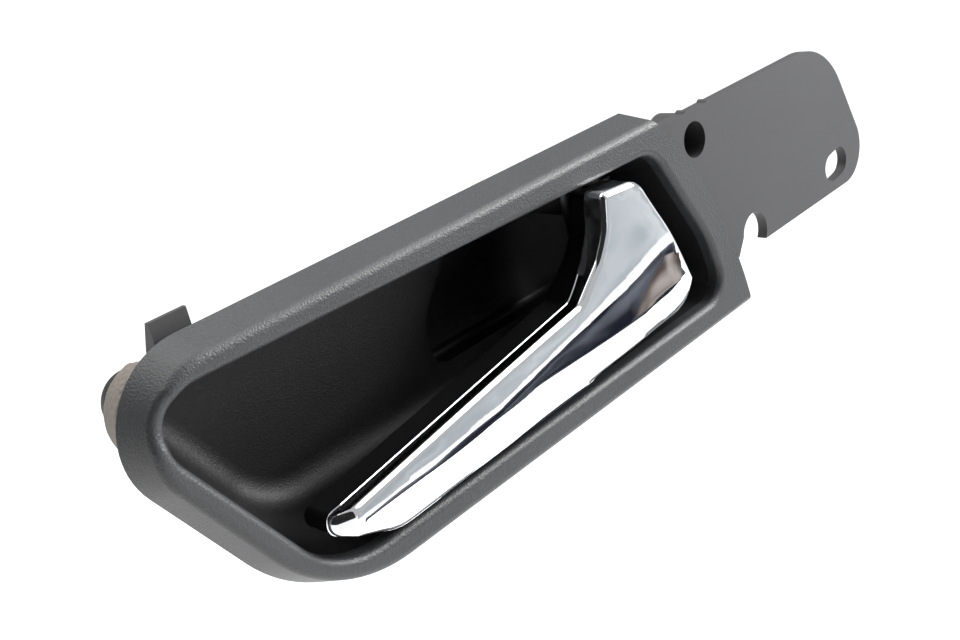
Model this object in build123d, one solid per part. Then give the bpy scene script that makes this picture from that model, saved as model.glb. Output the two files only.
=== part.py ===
"""Inner car door handle: cover, finger bowl, chromed pull lever on a hinge pin, and mounting frame with a tab.

Drawing frame, in millimetres: X runs towards the tab, Y runs back into the door, Z is up.
Y = 0 is the cover's flat face and X = Z = 0 is near the middle of the finger opening.
export() moves every piece, so that the origin is the centre of the tab's bore on the tab's front face.
"""
from build123d import *
from math import acos, cos, radians, sin, tan
import os

# ---- cover ----
COVER_DEPTH = 8.0            # face to the back edge of the skirt, which seats on the door panel
COVER_FACE = 2.6             # thickness of the face
SKIRT_WALL = 1.6
SKIRT_FLARE = 18.0           # degrees
FACE_ROUND = 2.0             # outer edge of the face
LIP_ROUND = 1.6              # edge of the finger opening
LIP_WALL = 2.4
LIP_DEPTH = 3.8
COVER_TOP = 23.1             # back edge of the skirt
COVER_BOTTOM = -39.0
COVER_LEFT = -78.0

# ---- finger opening and bowl ----
OPENING_LEFT = -71.2
OPENING_TOP = 16.9           # at the left; the top edge falls towards the hinge
OPENING_TOP_HINGE = 13.9
OPENING_BOTTOM = -30.8
OPENING_BOTTOM_HINGE = -29.3
BOWL_DEPTH = 27.0            # face to the bowl's floor
BOWL_WALL = 1.8
BOWL_DRAFT = 10.0            # degrees
BOWL_FLOOR_ROUND = 6.5
BOWL_OUTER_ROUND = 3.5
FLOOR_ROUNDS = (13.1, 12.6, 24.1, 11.7, 12.1)   # of the opening's corners, before the draw-in
BOWL_STEP = 0.2              # how far the bowl's wall stands back from the lip
BOWL_FLANGE = 1.4            # thickness of the flange clamped behind the cover's lip
BOWL_FLANGE_WIDTH = 3.2
POCKET_DEPTH = 5.0           # below the bowl's floor
POCKET_ROUND = 1.5

# ---- mounting frame and tab ----
FRAME_THICK = 2.8
FRAME_GAP = 0.3              # to the cover's skirt and to the bowl
TAB_TOP = 16.7
TAB_BOTTOM = -25.6
TAB_END = 170.0              # where the sloping end would meet the bottom edge
TAB_BORE_X = 85.7
TAB_BORE_Z = 9.4
TAB_BORE_R = 4.45
TAB_BOSS_WALL = 2.0
TAB_BOSS_LENGTH = 7.2
TAB_BOSS_FLOOR = 1.2          # closes the bore at the back
TAB_SLOT_X = TAB_END - 20.1
TAB_SLOT_Z = -18.6
TAB_SLOT_LENGTH = 12.0
TAB_SLOT_WIDTH = 8.0
TAB_SLOT_TILT = 9.0          # degrees
NOTCH_X = 106.0
NOTCH_Z = -22.6
NOTCH_R = 5.6
NUB_R = 1.2
NUB_HEIGHT = 0.5
HOOK_X = -58.2
HOOK_WIDTH = 7.6
HOOK_WALL = 1.8
HOOK_TOP = 25.6
HOOK_FRONT = 10.5            # the barb grips a 2.5 mm door panel
HOOK_BACK = 14.5

# ---- lever ----
LEVER_FRONT = -5.0           # crest of the lever, proud of the face
UPPER_FALL = 1.3             # from the crest back to the flag's top edge
LOWER_FALL = 0.7             # from the crest back to the lower bevel
BEVEL_FALL = 4.0             # from the crest back to the bottom edge
SKIN_BACK_ARM = -0.5
SKIN_BACK_FLAG = 1.5
SKIN_WALL = 1.8
CARRIER_BACK = 6.0
CARRIER_FIT = 0.15
RIM_INSET = 0.3
LEVER_OPEN = 30.0            # degrees
ARM_REACH = -48.0            # X of the arm's tip
FLAG_REACH = 72.4            # X of the flag's lower right corner before rounding
FLAG_TOP = 12.3

# ---- hinge ----
PIVOT_X = 52.0
PIVOT_BEHIND_PANEL = 5.0
PIVOT_Y = COVER_DEPTH + PIVOT_BEHIND_PANEL
PIN_R = 1.75
PIN_FIT = 0.05
PIN_HEAD_R = 3.2
PIN_HEAD = 1.2
PIN_TAIL = 1.2               # past the clip
BUSH_WALL = 0.85
BUSH_FLANGE_R = 3.8
BUSH_FLANGE = 0.8
BUSH_LENGTH = 7.0
BARREL_R = 6.0
BARREL_RELIEF = 0.4          # the pin runs only in the bushes
WEB_TOP = 8.0
NECK_R = 3.9
NECK_LENGTH = 8.4
SPRING_WIRE_R = 0.5
SPRING_TURNS = 5
SPRING_GAP = 0.3
SPRING_LEG = 9.0
SPRING_HOLD = 3.0            # length of the short leg held in the barrel
SPRING_POST_R = 1.3
BOSS_R = 4.4
THRUST_GAP = 0.3
BOSS_INSIDE = 0.8            # how far the hinge bosses stand into the bowl
BOSS_OUTSIDE = 2.6           # and out of it
WASHER_R = 3.9
WASHER_THICK = 0.6
CLIP_THICK = 0.8
CLIP_R = 3.4
GROOVE_DEPTH = 0.5

# ---- crank and cable end ----
CRANK_LENGTH = 31.0          # hinge axis to cable socket axis
CRANK_WIDTH = 8.0
CRANK_THICK = 4.0
CRANK_Z = 5.2
EYE_WALL = 2.4
SOCKET_R = 3.5
SOCKET_FIT = 0.05
SOCKET_GAP = 0.3
SOCKET_FLANGE_R = 4.6
SOCKET_FLANGE = 1.2
SOCKET_HEAD = 8.0
CABLE_EDGE = 3.0              # cable bore to the end of the socket's head
CABLE_BORE_R = 1.0
SLOT_SIDE_GAP = 1.5          # crank slot in the bowl's floor
SLOT_EDGE_GAP = 0.7
BUMPER_GAP = 0.3
BUMPER_LENGTH = 5.0
BUMPER_DEPTH = 3.5
BUMPER_HEIGHT = 5.0
BUMPER_ROUND = 0.8
BRACKET_X = 84.5             # right face of the upright, where the foot starts
BRACKET_THICK = 1.5
BRACKET_LOW = -18.0
BRACKET_HIGH = 2.6
BRACKET_FOOT = 11.5
BRACKET_REACH = 6.0          # past the cable's line
CONDUIT_SLOT = 6.4

# ---- fasteners and small pieces ----
SCREW_R = 1.3
SCREW_CLEARANCE = 0.3
SCREW_HEAD_R = 2.5
SCREW_HEAD = 1.6
SCREW_BOSS_WALL = 1.3
CROSS_HALF = 0.35             # half the width of a screw's cross recess
CROSS_DEPTH = 0.9
COVER_SCREWS = [(86.8, -30.8)]
BRACKET_SCREWS = [(88.5, -13.5), (92.5, -3.5)]
BLIND_WALL = 0.8              # left in front of a blind screw hole
SKIN_SCREWS = [(-22.0, -22.5), (20.0, -18.0), (60.0, -14.0)]
NUB_PLACES = [84.2, 93.4]
PAD_THICK = 2.2
PAD_FRONT = 12.0
PAD_BACK = 19.5
PAD_LOW = -4.0
PAD_REACH = -63.0

FRAME_FRONT = COVER_DEPTH - FRAME_THICK
ORIGIN = (TAB_BORE_X, FRAME_FRONT, TAB_BORE_Z)
FAR = 400.0
FLOOR_BACK = BOWL_DEPTH + BOWL_WALL
POCKET_FLOOR = BOWL_DEPTH + POCKET_DEPTH
POCKET_BACK = POCKET_FLOOR + BOWL_WALL
SOCKET_Y = PIVOT_Y + CRANK_LENGTH


def between(start, end, x):
    """Height at x on the line between two (x, z) points."""
    return start[1] + (end[1] - start[1]) * (x - start[0]) / (end[0] - start[0])


# The bowl's walls where the hinge pin passes through them, and the stack of pieces between them.
OPENING_TOP_LINE = ((OPENING_LEFT - 5.4, OPENING_TOP), (63.0, OPENING_TOP_HINGE))
OPENING_BOTTOM_LINE = ((OPENING_LEFT + 24.5, OPENING_BOTTOM), (82.8, OPENING_BOTTOM_HINGE))
HINGE_DRAW_IN = (PIVOT_Y - LIP_DEPTH) * tan(radians(BOWL_DRAFT)) - BOWL_STEP
WALL_TOP = between(*OPENING_TOP_LINE, PIVOT_X) - HINGE_DRAW_IN
WALL_BOTTOM = between(*OPENING_BOTTOM_LINE, PIVOT_X) + HINGE_DRAW_IN
BOSS_TOP_IN = WALL_TOP - BOSS_INSIDE
BOSS_TOP_OUT = WALL_TOP + BOWL_WALL + BOSS_OUTSIDE
BOSS_BOTTOM_IN = WALL_BOTTOM + BOSS_INSIDE
BOSS_BOTTOM_OUT = WALL_BOTTOM - BOWL_WALL - BOSS_OUTSIDE
BARREL_TOP = BOSS_TOP_IN - THRUST_GAP - BUSH_FLANGE
NECK_BOTTOM = BOSS_BOTTOM_IN + THRUST_GAP + BUSH_FLANGE
BARREL_BOTTOM = NECK_BOTTOM + NECK_LENGTH
SPRING_R = NECK_R + SPRING_GAP + SPRING_WIRE_R
SPRING_BOTTOM = NECK_BOTTOM + SPRING_WIRE_R + 0.2
SPRING_TOP = BARREL_BOTTOM - SPRING_WIRE_R - 0.3
WASHER_BOTTOM = BOSS_BOTTOM_OUT - WASHER_THICK
CLIP_BOTTOM = WASHER_BOTTOM - CLIP_THICK
PIN_BOTTOM = CLIP_BOTTOM - PIN_TAIL
CABLE_Z = CRANK_Z - CRANK_THICK / 2 - SOCKET_GAP - SOCKET_HEAD + CABLE_EDGE
SKIN_BOSS_BACK = 3.0
SKIN_SCREW_TIP = -1.2
SCREW_SEAT = CARRIER_BACK - SCREW_HEAD


# ---- helpers ----
def facing(depth):
    """Drawing plane at a depth, seen from the front: its x is X and its y is Z."""
    return Plane(origin=(0, depth, 0), x_dir=(1, 0, 0), z_dir=(0, -1, 0))


def outline(corners):
    """Closed outline from (x, z, radius) corners, each rounded by an arc that touches both its sides."""
    rounds = []
    for before, here, after in zip(corners[-1:] + corners[:-1], corners, corners[1:] + corners[:1]):
        tip = Vector(here[0], here[1])
        back = (Vector(before[0], before[1]) - tip).normalized()
        ahead = (Vector(after[0], after[1]) - tip).normalized()
        half = acos(max(-1.0, min(1.0, back.dot(ahead)))) / 2
        reach = here[2] / tan(half)
        inward = (back + ahead).normalized()
        middle = tip + inward * (here[2] / sin(half) - here[2])
        rounds.append((tip + back * reach, middle, tip + ahead * reach))
    edges = []
    for (_, _, last), (start, middle, end) in zip(rounds[-1:] + rounds[:-1], rounds):
        edges += [Line(last, start), ThreePointArc(start, middle, end)]
    return make_face(edges)


def prism(shape, front, back):
    """A flat outline as a solid between two depths."""
    return extrude(facing(back) * shape, amount=back - front)


def upright(radius, x, y, bottom, top):
    """Cylinder along Z."""
    return Pos(x, y, (bottom + top) / 2) * Cylinder(radius, top - bottom)


def block(x0, x1, y0, y1, z0, z1):
    return Pos((x0 + x1) / 2, (y0 + y1) / 2, (z0 + z1) / 2) * Box(x1 - x0, y1 - y0, z1 - z0)


def along_y(radius, x, z, front, back):
    """Cylinder along Y."""
    return prism(Pos(x, z) * Circle(radius), front, back)


def edges_at(solid, depth, tolerance=0.01):
    """Edges that lie in the plane at a depth."""
    return [e for e in solid.edges() if abs(e.bounding_box().min.Y - depth) < tolerance
            and abs(e.bounding_box().max.Y - depth) < tolerance]


# ---- outlines ----
def grown(corners, by):
    """The same outline, counter-clockwise, with every side moved outwards and the radii to match."""
    moved = []
    for before, here, after in zip(corners[-1:] + corners[:-1], corners, corners[1:] + corners[:1]):
        side_in = Vector(here[0] - before[0], here[1] - before[1]).normalized()
        side_out = Vector(after[0] - here[0], after[1] - here[1]).normalized()
        out_in = Vector(side_in.Y, -side_in.X)
        out_out = Vector(side_out.Y, -side_out.X)
        shift = (out_in + out_out) * (by / (1 + out_in.dot(out_out)))
        moved.append((here[0] + shift.X, here[1] + shift.Y, max(here[2] + by, 0.4)))
    return moved


def cover_corners():
    """Back edge of the skirt; it runs on past the cut at the hinge end."""
    past_end = FLAG_REACH + 60
    return [
        (past_end, COVER_TOP, 5),
        (COVER_LEFT - 9.8, COVER_TOP, 16),
        (COVER_LEFT + 28.0, COVER_BOTTOM, 35),
        (past_end, COVER_BOTTOM + 1.3, 5),
    ]


def end_cut(inset=0.0):
    """What the cover keeps at the hinge end: everything left of a slightly bowed edge."""
    top = (62.0 - inset * 1.1, COVER_TOP + 0.5)
    middle = (82.6 - inset, -5.2)
    bottom = (93.2 - inset * 0.9, COVER_BOTTOM)
    bow = ThreePointArc(top, middle, bottom)
    rest = Polyline(bottom, (bottom[0] - 1, -FAR), (-FAR, -FAR), (-FAR, FAR), (top[0] - 2, FAR), top)
    return make_face([bow, *rest.edges()])


def opening_corners():
    """Finger opening at the face."""
    return [
        (63.0, OPENING_TOP_HINGE, 9),
        (OPENING_LEFT - 5.4, OPENING_TOP, 8),
        (OPENING_LEFT + 24.5, OPENING_BOTTOM, 20),
        (82.8, OPENING_BOTTOM_HINGE, 6),
        (78.5, -13.0, 25),
    ]


def floor_corners(draw_in):
    """The opening's outline drawn in towards the bowl's floor, with rounder corners."""
    drawn = grown(opening_corners(), -draw_in)
    return [(x, z, radius - draw_in) for (x, z, _), radius in zip(drawn, FLOOR_ROUNDS)]


def bowl_space(grow):
    """Space inside the bowl, which narrows towards its rounded floor."""
    draw_in = (BOWL_DEPTH - LIP_DEPTH) * tan(radians(BOWL_DRAFT))
    mouth = outline(grown(opening_corners(), grow))
    bottom = outline(grown(floor_corners(draw_in), grow))
    body = loft([facing(LIP_DEPTH) * mouth, facing(BOWL_DEPTH) * bottom], ruled=True)
    return fillet(edges_at(body, BOWL_DEPTH), BOWL_FLOOR_ROUND)


def bowl_shell(grow):
    """Outside of the bowl's walls and floor."""
    depth = BOWL_DEPTH + BOWL_WALL - LIP_DEPTH
    rim = facing(LIP_DEPTH) * outline(grown(opening_corners(), grow))
    body = extrude(rim, amount=depth, dir=(0, 1, 0), taper=BOWL_DRAFT)
    return fillet(edges_at(body, LIP_DEPTH + depth), BOWL_OUTER_ROUND)


def pocket_corners():
    """Deeper pocket of the bowl's floor on the hinge side."""
    return [
        (66.0, 9.5, 4),
        (22.0, 9.5, 7),
        (7.0, -8.0, 10),
        (8.5, -19.0, 4),
        (70.0, -19.0, 4),
    ]


def lever_corners():
    """Front view of the lever: arm to the left, flag to the right."""
    return [
        (ARM_REACH + 0.5, -17.8, 2.2),
        (ARM_REACH, -21.6, 2.5),
        (ARM_REACH + 15, -29.2, 14),
        (FLAG_REACH, -26.0, 5.5),
        (FLAG_REACH - 18.9, FLAG_TOP - 1, 6),
        (38.6, FLAG_TOP, 1.8),
        (37.0, 4.6, 12),
        (33.0, -0.6, 10),
        (24.6, -7.0, 4),
    ]


def tab_corners():
    return [
        (60.0, TAB_BOTTOM - 0.6, 1),
        (TAB_END, TAB_BOTTOM, 10),
        (TAB_END - 19.3, TAB_TOP, 22),
        (60.0, TAB_TOP, 1),
    ]


# ---- housing ----
def bezel_cover():
    """Cover frame: rounded face, flared skirt, lip round the opening, and bosses for its screws."""
    body = extrude(facing(COVER_DEPTH) * outline(cover_corners()), amount=COVER_DEPTH, taper=SKIRT_FLARE)
    body = fillet(edges_at(body, 0.0), FACE_ROUND)
    body -= prism(outline(opening_corners()), -1, COVER_DEPTH + 1)
    reach = (facing(0) * outline(grown(opening_corners(), 1.0))).face()
    body = fillet([e for e in edges_at(body, 0.0) if reach.is_inside(e.position_at(0.5))], LIP_ROUND)
    body &= prism(end_cut(), -1, COVER_DEPTH + 1)

    inner = outline(grown(cover_corners(), -SKIRT_WALL))
    hollow = extrude(facing(COVER_DEPTH) * inner, amount=COVER_DEPTH - COVER_FACE, taper=SKIRT_FLARE)
    hollow &= prism(end_cut(SKIRT_WALL), 0, COVER_DEPTH)
    hollow -= prism(outline(grown(opening_corners(), LIP_WALL)), 0, LIP_DEPTH)
    body -= hollow
    body -= prism(outline(grown(tab_corners(), FRAME_GAP)), FRAME_FRONT - FRAME_GAP, COVER_DEPTH + 1)
    for x, z in COVER_SCREWS:
        body += along_y(SCREW_R + SCREW_BOSS_WALL, x, z, COVER_FACE - 0.5, FRAME_FRONT)
        body -= along_y(SCREW_R, x, z, COVER_FACE - 0.3, FRAME_FRONT)
    return body


def finger_bowl():
    """Bowl with its clamped flange, the hinge bosses, and a deeper pocket that the crank goes through."""
    body = bowl_shell(BOWL_STEP + BOWL_WALL)
    body += prism(outline(grown(pocket_corners(), BOWL_WALL)), BOWL_DEPTH, POCKET_BACK)
    flange = prism(outline(grown(opening_corners(), BOWL_FLANGE_WIDTH)), LIP_DEPTH, FRAME_FRONT)
    body += flange & prism(inside_skirt(LIP_DEPTH), LIP_DEPTH, FRAME_FRONT)
    body += upright(BOSS_R, PIVOT_X, PIVOT_Y, BOSS_BOTTOM_OUT, 0)
    body += upright(BOSS_R, PIVOT_X, PIVOT_Y, 0, BOSS_TOP_OUT)

    pocket = prism(outline(pocket_corners()), BOWL_DEPTH - 2, POCKET_FLOOR)
    pocket = fillet(edges_at(pocket, POCKET_FLOOR), POCKET_ROUND)
    space = bowl_space(BOWL_STEP) + pocket
    space -= upright(BOSS_R, PIVOT_X, PIVOT_Y, BOSS_BOTTOM_OUT, BOSS_BOTTOM_IN)
    space -= upright(BOSS_R, PIVOT_X, PIVOT_Y, BOSS_TOP_IN, BOSS_TOP_OUT)
    space -= spring_post()
    body -= space
    body -= upright(PIN_R, PIVOT_X, PIVOT_Y, BOSS_BOTTOM_OUT - 1, BOSS_TOP_OUT + 1)
    return body - crank_slot()


def inside_skirt(depth):
    """Outline that clears the skirt's inner wall from a depth backwards."""
    drawn_in = (COVER_DEPTH - depth) * tan(radians(SKIRT_FLARE))
    return outline(grown(cover_corners(), -SKIRT_WALL - drawn_in - FRAME_GAP))


def spring_post():
    """Stud on the bowl's lower wall; the spring's fixed leg bears on it."""
    x = PIVOT_X + SPRING_R + SPRING_WIRE_R + SPRING_POST_R
    return upright(SPRING_POST_R, x, PIVOT_Y + SPRING_LEG - 2, BOSS_BOTTOM_OUT, SPRING_BOTTOM + 1.5)


def crank_slot():
    """Slot in the pocket's floor, as wide as the crank's swing needs."""
    half_height = CRANK_THICK / 2 + SLOT_EDGE_GAP
    left = crank_side(POCKET_BACK) - SLOT_SIDE_GAP
    right = PIVOT_X + CRANK_WIDTH / 2 + SLOT_SIDE_GAP
    return block(left, right, POCKET_FLOOR - 1, POCKET_BACK + 1, CRANK_Z - half_height, CRANK_Z + half_height)


def crank_side(depth):
    """X of the crank's left side at a depth, with the lever open."""
    angle = radians(LEVER_OPEN)
    return PIVOT_X - (depth - PIVOT_Y) * tan(angle) - CRANK_WIDTH / 2 / cos(angle)


def mounting_frame():
    """Frame behind the cover: ring round the bowl, long fixing tab, tab boss and snap hook."""
    ring = prism(inside_skirt(FRAME_FRONT), FRAME_FRONT, COVER_DEPTH)
    ring &= prism(end_cut(SKIRT_WALL + FRAME_GAP), 0, COVER_DEPTH + 1)
    tab = prism(outline(tab_corners()), FRAME_FRONT, COVER_DEPTH)
    tab -= prism(end_cut(SKIRT_WALL + 2), 0, COVER_DEPTH + 1)
    body = ring + tab
    for x in NUB_PLACES:
        body += along_y(NUB_R, x, TAB_TOP + NUB_HEIGHT - NUB_R, FRAME_FRONT, COVER_DEPTH)
    boss_back = COVER_DEPTH + TAB_BOSS_LENGTH
    body += along_y(TAB_BORE_R + TAB_BOSS_WALL, TAB_BORE_X, TAB_BORE_Z, COVER_DEPTH - 0.5, boss_back)

    bowl_hole = outline(grown(opening_corners(), BOWL_STEP + BOWL_WALL + FRAME_GAP))
    body -= prism(bowl_hole, FRAME_FRONT - 1, COVER_DEPTH + 1)
    body -= along_y(TAB_BORE_R, TAB_BORE_X, TAB_BORE_Z, 0, boss_back - TAB_BOSS_FLOOR)
    slot = Rot(0, 0, TAB_SLOT_TILT) * SlotOverall(TAB_SLOT_LENGTH, TAB_SLOT_WIDTH)
    body -= prism(Pos(TAB_SLOT_X, TAB_SLOT_Z) * slot, 0, COVER_DEPTH + 1)
    body -= along_y(NOTCH_R, NOTCH_X, NOTCH_Z, 0, COVER_DEPTH + 1)
    mouth = Polyline((NOTCH_X - 5.4, NOTCH_Z + 1), (NOTCH_X - 10.5, TAB_BOTTOM - 3),
                     (NOTCH_X + 1.2, TAB_BOTTOM - 3), (NOTCH_X + 2.2, NOTCH_Z), close=True)
    body -= prism(make_face(mouth), 0, COVER_DEPTH + 1)
    for x, z in COVER_SCREWS:
        body -= along_y(SCREW_R + SCREW_CLEARANCE, x, z, 0, COVER_DEPTH + 1)
    for x, z in BRACKET_SCREWS:
        body -= along_y(SCREW_R, x, z, FRAME_FRONT + BLIND_WALL, COVER_DEPTH + 1)
    return body + snap_hook()


def snap_hook():
    """Leg behind the ring with a barb that grips the edge of the door panel's cut-out."""
    foot = hook_foot()
    x0 = HOOK_X - HOOK_WIDTH / 2
    leg = block(x0, x0 + HOOK_WIDTH, COVER_DEPTH - 1, HOOK_BACK, foot, foot + HOOK_WALL)
    barb = Polyline((HOOK_FRONT, foot), (HOOK_FRONT, HOOK_TOP), (HOOK_FRONT + 1, HOOK_TOP),
                    (HOOK_BACK, foot + HOOK_WALL), (HOOK_BACK, foot), close=True)
    side = Plane(origin=(x0, 0, 0), x_dir=(0, 1, 0), z_dir=(1, 0, 0))
    return leg + extrude(side * make_face(barb), amount=HOOK_WIDTH)


def hook_foot():
    """Lowest Z of the hook's leg: clear of the bowl's wall."""
    drawn_in = (COVER_DEPTH - LIP_DEPTH) * tan(radians(BOWL_DRAFT))
    opening_here = between(*OPENING_TOP_LINE, HOOK_X - HOOK_WIDTH / 2)
    return opening_here + BOWL_STEP + BOWL_WALL - drawn_in + FRAME_GAP


def anti_rattle_pad():
    """Soft strip wrapped round the bowl's left end."""
    lag = (PAD_FRONT - LIP_DEPTH) * tan(radians(BOWL_DRAFT))
    around = BOWL_STEP + BOWL_WALL - lag
    strip = extrude(facing(PAD_FRONT) * outline(grown(opening_corners(), around + PAD_THICK)),
                    amount=PAD_BACK - PAD_FRONT, dir=(0, 1, 0), taper=BOWL_DRAFT)
    strip -= bowl_shell(BOWL_STEP + BOWL_WALL)
    return strip & block(-FAR, PAD_REACH, PAD_FRONT, PAD_BACK, PAD_LOW, FAR)


# ---- hinge ----
def pivot_pin():
    body = upright(PIN_R, PIVOT_X, PIVOT_Y, PIN_BOTTOM, BOSS_TOP_OUT)
    body += upright(PIN_HEAD_R, PIVOT_X, PIVOT_Y, BOSS_TOP_OUT, BOSS_TOP_OUT + PIN_HEAD)
    groove = upright(PIN_R + 1, PIVOT_X, PIVOT_Y, CLIP_BOTTOM, CLIP_BOTTOM + CLIP_THICK)
    groove -= upright(PIN_R - GROOVE_DEPTH, PIVOT_X, PIVOT_Y, CLIP_BOTTOM - 1, BOSS_BOTTOM_OUT + 1)
    body -= groove
    tip = [e for e in body.edges() if abs(e.center().Z - PIN_BOTTOM) < 0.01]
    return chamfer(tip, 0.4)


def pivot_clip():
    """Open retaining ring in the pin's groove."""
    body = upright(CLIP_R, PIVOT_X, PIVOT_Y, CLIP_BOTTOM, CLIP_BOTTOM + CLIP_THICK)
    body -= upright(PIN_R - GROOVE_DEPTH, PIVOT_X, PIVOT_Y, CLIP_BOTTOM - 1, CLIP_BOTTOM + 2)
    half = PIN_R - GROOVE_DEPTH
    return body - block(PIVOT_X - half, PIVOT_X + half, PIVOT_Y, PIVOT_Y + 9,
                        CLIP_BOTTOM - 1, CLIP_BOTTOM + 2)


def pivot_bush(flange, end):
    """Flanged bush pressed into the lever's barrel; flange and end are its outer and inner Z."""
    step = BUSH_FLANGE if flange < end else -BUSH_FLANGE
    low, high = min(flange, end), max(flange, end)
    body = upright(PIN_R + PIN_FIT + BUSH_WALL, PIVOT_X, PIVOT_Y, low, high)
    body += upright(BUSH_FLANGE_R, PIVOT_X, PIVOT_Y, min(flange, flange + step), max(flange, flange + step))
    return body - upright(PIN_R + PIN_FIT, PIVOT_X, PIVOT_Y, low - 1, high + 1)


def pin_washer():
    body = upright(WASHER_R, PIVOT_X, PIVOT_Y, WASHER_BOTTOM, BOSS_BOTTOM_OUT)
    return body - upright(PIN_R, PIVOT_X, PIVOT_Y, WASHER_BOTTOM - 1, BOSS_BOTTOM_OUT + 1)


def return_spring():
    """Coil round the barrel's neck, with a long leg to the bowl's post and a short one up into the barrel."""
    height = SPRING_TOP - SPRING_BOTTOM
    coil = Pos(PIVOT_X, PIVOT_Y, SPRING_BOTTOM) * Helix(height / SPRING_TURNS, height, SPRING_R)
    body = sweep(Plane(origin=coil @ 0, z_dir=coil % 0) * Circle(SPRING_WIRE_R), path=coil)
    foot = coil @ 0
    leg = Plane(origin=(foot.X, foot.Y, foot.Z), z_dir=(0, 1, 0)) * Circle(SPRING_WIRE_R)
    body += extrude(leg, amount=SPRING_LEG)
    body += upright(SPRING_WIRE_R, foot.X, foot.Y, SPRING_TOP, SPRING_TOP + SPRING_HOLD)
    return body


def bumper(x0):
    """Rubber stop on the pocket's floor."""
    half = BUMPER_HEIGHT / 2
    front = POCKET_FLOOR - BUMPER_DEPTH
    body = block(x0, x0 + BUMPER_LENGTH, front, POCKET_FLOOR, CRANK_Z - half, CRANK_Z + half)
    return fillet(edges_at(body, front), BUMPER_ROUND)


def rest_bumper():
    return bumper(PIVOT_X + CRANK_WIDTH / 2 + BUMPER_GAP)


def open_bumper():
    return bumper(crank_side(POCKET_FLOOR) - BUMPER_GAP - BUMPER_LENGTH)


def conduit_bracket():
    """Bent steel plate: foot on the frame's back, upright with a slot for the cable's conduit."""
    end = SOCKET_Y + BRACKET_REACH
    body = block(BRACKET_X - BRACKET_THICK, BRACKET_X, COVER_DEPTH, end, BRACKET_LOW, BRACKET_HIGH)
    foot_back = COVER_DEPTH + BRACKET_THICK
    body += block(BRACKET_X - BRACKET_THICK, BRACKET_X + BRACKET_FOOT, COVER_DEPTH, foot_back,
                  BRACKET_LOW, BRACKET_HIGH)
    half = CONDUIT_SLOT / 2
    seat = Plane(origin=(BRACKET_X - 5, SOCKET_Y, CABLE_Z), z_dir=(1, 0, 0)) * Circle(half)
    body -= extrude(seat, amount=10)
    body -= block(BRACKET_X - 5, BRACKET_X + 5, SOCKET_Y, end + 1, CABLE_Z - half, CABLE_Z + half)
    for x, z in BRACKET_SCREWS:
        body -= along_y(SCREW_R + SCREW_CLEARANCE, x, z, COVER_DEPTH - 1, COVER_DEPTH + BRACKET_THICK + 1)
    return body


def screw(x, z, tip, seat):
    """Pan-head screw driven from behind."""
    body = along_y(SCREW_R, x, z, tip, seat)
    head = fillet(edges_at(along_y(SCREW_HEAD_R, x, z, seat, seat + SCREW_HEAD), seat + SCREW_HEAD), 0.6)
    arm = SCREW_HEAD_R * 0.6
    back = seat + SCREW_HEAD
    for width, height in ((arm, CROSS_HALF), (CROSS_HALF, arm)):
        head -= block(x - width, x + width, back - CROSS_DEPTH, back + 1, z - height, z + height)
    return body + head


def group(pieces):
    """Separate solids in one node."""
    return Compound([solid for piece in pieces for solid in piece.solids()])


def cover_screws():
    return group(screw(x, z, COVER_FACE + 0.2, COVER_DEPTH) for x, z in COVER_SCREWS)


def bracket_screws():
    seat = COVER_DEPTH + BRACKET_THICK
    return group(screw(x, z, FRAME_FRONT + BLIND_WALL + 0.2, seat) for x, z in BRACKET_SCREWS)


def skin_screws():
    return group(screw(x, z, SKIN_SCREW_TIP, SCREW_SEAT) for x, z in SKIN_SCREWS)


# ---- lever ----
def cut_front(body, a, b, c):
    """Cut away what stands in front of the plane through three (x, y, z) points."""
    a, b, c = Vector(*a), Vector(*b), Vector(*c)
    normal = (b - a).cross(c - a)
    if normal.Y > 0:
        normal = normal * -1
    return body - Plane(origin=a, z_dir=normal) * Pos(0, 0, FAR / 2) * Box(FAR, FAR, FAR)


def lever_front(body, back=0.0):
    """Cut the lever's front to its crest line, upper face, lower face and lower bevel."""
    crest = LEVER_FRONT + back
    tip = (-43.4, crest + 0.3, -21.3)
    flag = (26.0, crest, -10.8)
    body = cut_front(body, tip, flag, (38.0, crest + UPPER_FALL, FLAG_TOP))
    body = cut_front(body, tip, flag, (45.6, crest + LOWER_FALL, -19.1))
    low_tip = (-41.4, crest + LOWER_FALL, -22.8)
    low_flag = (65.0, crest + LOWER_FALL + 0.2, -17.6)
    return cut_front(body, low_tip, low_flag, (0.0, crest + BEVEL_FALL, -28.6))


def skin_region():
    """All that lies in front of the skin's rear edge, which stands further back at the flag."""
    flag = SKIN_BACK_FLAG
    arm = SKIN_BACK_ARM
    side = Polyline((-FAR, arm), (24, arm), (34, flag), (FAR, flag), (FAR, -FAR), (-FAR, -FAR), close=True)
    return extrude(make_face(side), amount=FAR, both=True)


def lever_skin():
    """Chromed shell, open at the back, with bosses for its screws."""
    body = lever_front(prism(outline(lever_corners()), LEVER_FRONT - 1, SKIN_BACK_FLAG))
    body &= skin_region()
    core = prism(outline(grown(lever_corners(), -SKIN_WALL)), LEVER_FRONT - 1, SKIN_BACK_FLAG + 1)
    body -= lever_front(core, SKIN_WALL)
    for x, z in SKIN_SCREWS:
        boss = along_y(SCREW_R + SCREW_BOSS_WALL, x, z, LEVER_FRONT, SKIN_BOSS_BACK)
        body += lever_front(boss, SKIN_WALL - 0.3)
        body -= along_y(SCREW_R, x, z, SKIN_SCREW_TIP - 0.2, SKIN_BOSS_BACK + 1)
    return body


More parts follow.
